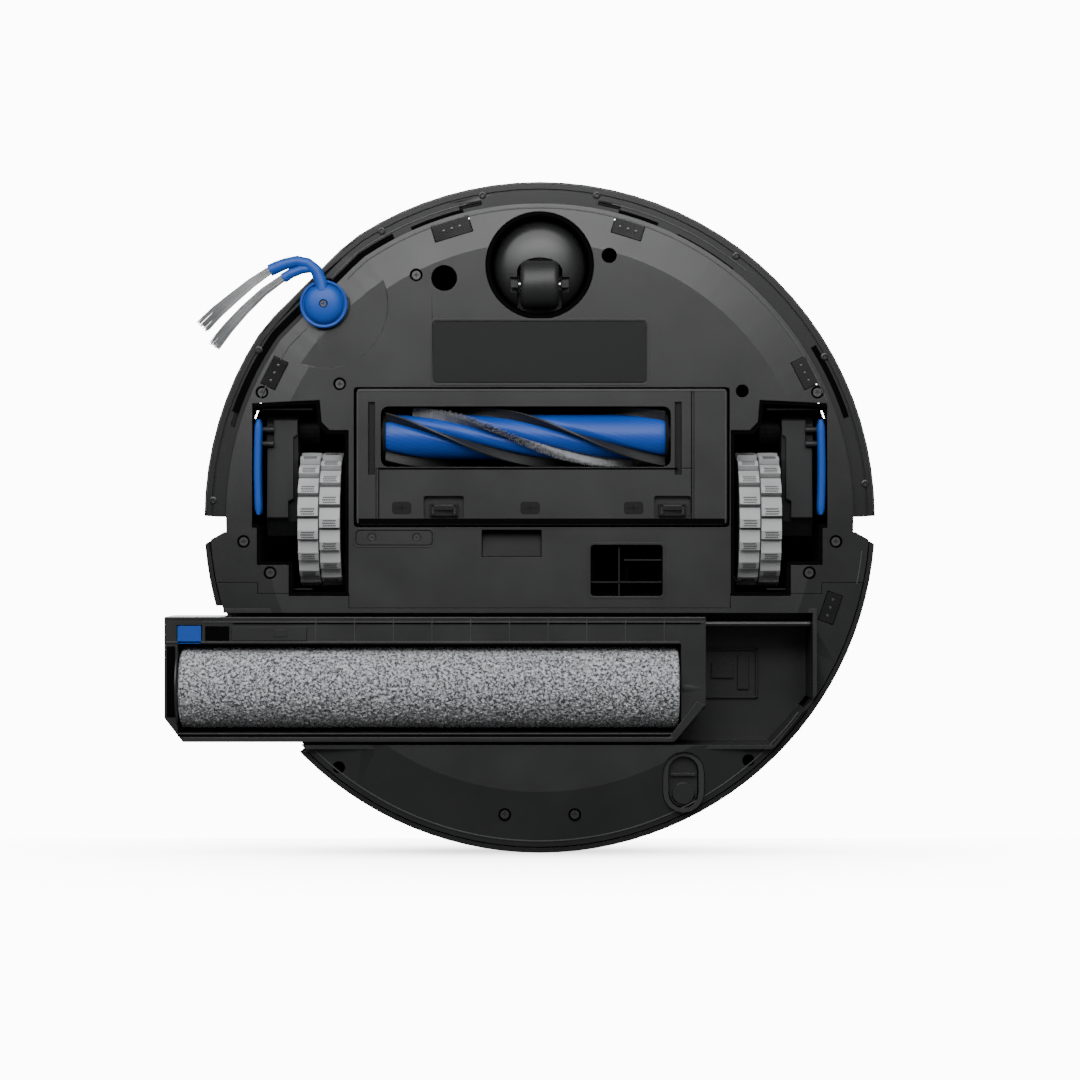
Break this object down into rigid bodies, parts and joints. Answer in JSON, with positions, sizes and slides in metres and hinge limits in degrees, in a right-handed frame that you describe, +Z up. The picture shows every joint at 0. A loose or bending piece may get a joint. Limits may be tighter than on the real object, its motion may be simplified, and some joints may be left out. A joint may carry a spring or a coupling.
{
  "type": "robot vacuum",
  "caption": "Round floor cleaning robot with a brush, sprung drive wheels, a swivel caster, a side brush and a roller mop that slides out sideways.",
  "frame": {"origin": "on the floor under the middle of the bounding box, mop module slid out", "axes": "+Z up from the floor, -Y towards the front of the robot, -X towards the side the mop module slides out of"},
  "size_m": [0.3718, 0.352, 0.098],
  "materials": {
    "black": "fine satin texture",
    "dark": "matt moulded",
    "gloss": "polished",
    "blue": "satin blue",
    "blue_wrap": "shrink wrap",
    "board": "solder mask",
    "tank": "smoked",
    "rubber": "matt",
    "tyre": "light grey rubber",
    "steel": "plain",
    "nap": "looped grey pile",
    "bristle": "nylon filament"
  },
  "bodies": {
    "chassis": {"base_plate": "black", "rear_base": "black", "side_shell": "black", "top_deck": "black", "label_plate": "dark", "hatch_plate": "black", "brush_housing": "dark", "brush_motor": "dark", "brush_gearbox": "black", "battery_pack": "blue_wrap", "main_board": "board", "suction_fan": "dark", "dust_bin": "tank", "clean_water_tank": "tank", "water_pump": "dark", "caster_socket": "dark", "side_brush_motor": "dark", "mop_screw": "steel", "port_seal": "rubber", "dock_contact_left": "steel", "dock_contact_right": "steel", "left_wheel_housing": "dark", "left_spring": "steel", "right_wheel_housing": "dark", "right_spring": "steel", "cliff_sensor_front_left": "gloss", "cliff_sensor_front_right": "gloss", "cliff_sensor_side_left": "gloss", "cliff_sensor_side_right": "gloss", "cliff_sensor_rear_right": "gloss"},
    "bumper": {"bumper_shell": "black", "bumper_window": "gloss"},
    "left_arm": {"left_gear_case": "dark", "left_lever_plate": "blue"},
    "left_wheel": {"left_wheel_hub": "dark", "left_tyre": "tyre"},
    "right_arm": {"right_gear_case": "dark", "right_lever_plate": "blue"},
    "right_wheel": {"right_wheel_hub": "dark", "right_tyre": "tyre"},
    "caster_fork": {"caster_turret": "black", "caster_axle": "steel"},
    "caster_roller": {"caster_wheel": "rubber"},
    "main_brush": {"brush_core": "dark", "brush_sleeve": "blue"},
    "guard": {"brush_guard": "black"},
    "latch_left": {"guard_latch_left": "dark"},
    "latch_right": {"guard_latch_right": "dark"},
    "side_brush": {"side_brush_hub": "blue", "side_brush_tuft_long": "bristle", "side_brush_tuft_short": "bristle"},
    "mop_module": {"mop_carrier": "black", "mop_motor": "dark"},
    "mop_roller": {"mop_core": "dark", "mop_nap": "nap"},
    "mop_button": {"mop_release_button": "blue"},
    "valve": {"port_valve": "black"},
    "cover": {"top_cover": "gloss"},
    "button": {"power_button": "black"}
  },
  "joints": [
    {"name": "bumper_press", "type": "slide", "parent": "chassis", "child": "bumper", "axis": [0, 1, 0], "range_m": [0, 0.004], "stiffness_N_per_m": 300, "springref_m": -0.003},
    {"name": "left_wheel_drop", "type": "hinge", "parent": "chassis", "child": "left_arm", "pos_m": [-0.12605, -0.046, 0.034], "axis": [-1, 0, 0], "range_deg": [0, 14], "stiffness_Nm_per_rad": 0.2, "springref_deg": 51.57, "deforming": ["left_spring"]},
    {"name": "left_wheel_spin", "type": "hinge", "parent": "left_arm", "child": "left_wheel", "pos_m": [-0.10495, 0.001, 0.0355], "axis": [1, 0, 0], "continuous": true},
    {"name": "right_wheel_drop", "type": "hinge", "parent": "chassis", "child": "right_arm", "pos_m": [0.14595, -0.046, 0.034], "axis": [-1, 0, 0], "range_deg": [0, 14], "stiffness_Nm_per_rad": 0.2, "springref_deg": 51.57, "deforming": ["right_spring"]},
    {"name": "right_wheel_spin", "type": "hinge", "parent": "right_arm", "child": "right_wheel", "pos_m": [0.12485, 0.001, 0.0355], "axis": [1, 0, 0], "continuous": true},
    {"name": "caster_swivel", "type": "hinge", "parent": "chassis", "child": "caster_fork", "pos_m": [0.00995, -0.1316, 0.02], "axis": [0, 0, 1], "continuous": true},
    {"name": "caster_roll", "type": "hinge", "parent": "caster_fork", "child": "caster_roller", "pos_m": [0.00995, -0.1217, 0.0125], "axis": [1, 0, 0], "continuous": true},
    {"name": "main_brush_spin", "type": "hinge", "parent": "chassis", "child": "main_brush", "pos_m": [0.00395, -0.0419, 0.018], "axis": [1, 0, 0], "continuous": true},
    {"name": "brush_guard_open", "type": "hinge", "parent": "chassis", "child": "guard", "pos_m": [0.00995, -0.0664, 0.0084], "axis": [-1, 0, 0], "range_deg": [0, 60]},
    {"name": "guard_latch_left_slide", "type": "slide", "parent": "guard", "child": "latch_left", "axis": [0, -1, 0], "range_m": [0, 0.003], "stiffness_N_per_m": 150, "springref_m": -0.001},
    {"name": "guard_latch_right_slide", "type": "slide", "parent": "guard", "child": "latch_right", "axis": [0, -1, 0], "range_m": [0, 0.003], "stiffness_N_per_m": 150, "springref_m": -0.001},
    {"name": "side_brush_spin", "type": "hinge", "parent": "chassis", "child": "side_brush", "pos_m": [-0.10265, -0.111, 0.007], "axis": [0, 0, 1], "continuous": true},
    {"name": "mop_extend", "type": "slide", "parent": "chassis", "child": "mop_module", "axis": [1, 0, 0], "range_m": [0, 0.05]},
    {"name": "mop_roller_spin", "type": "hinge", "parent": "mop_module", "child": "mop_roller", "pos_m": [-0.04705, 0.0895, 0.0222], "axis": [1, 0, 0], "continuous": true},
    {"name": "mop_release_press", "type": "slide", "parent": "mop_module", "child": "mop_button", "axis": [0, 0, 1], "range_m": [0, 0.002], "stiffness_N_per_m": 200, "springref_m": -0.001},
    {"name": "port_valve_press", "type": "slide", "parent": "chassis", "child": "valve", "axis": [0, 0, 1], "range_m": [0, 0.003], "stiffness_N_per_m": 150, "springref_m": -0.001},
    {"name": "top_cover_lift", "type": "slide", "parent": "chassis", "child": "cover", "axis": [0, 0, 1], "range_m": [0, 0.06]},
    {"name": "power_button_press", "type": "slide", "parent": "cover", "child": "button", "axis": [0, 0, -1], "range_m": [0, 0.001], "stiffness_N_per_m": 400, "springref_m": -0.001}
  ]
}
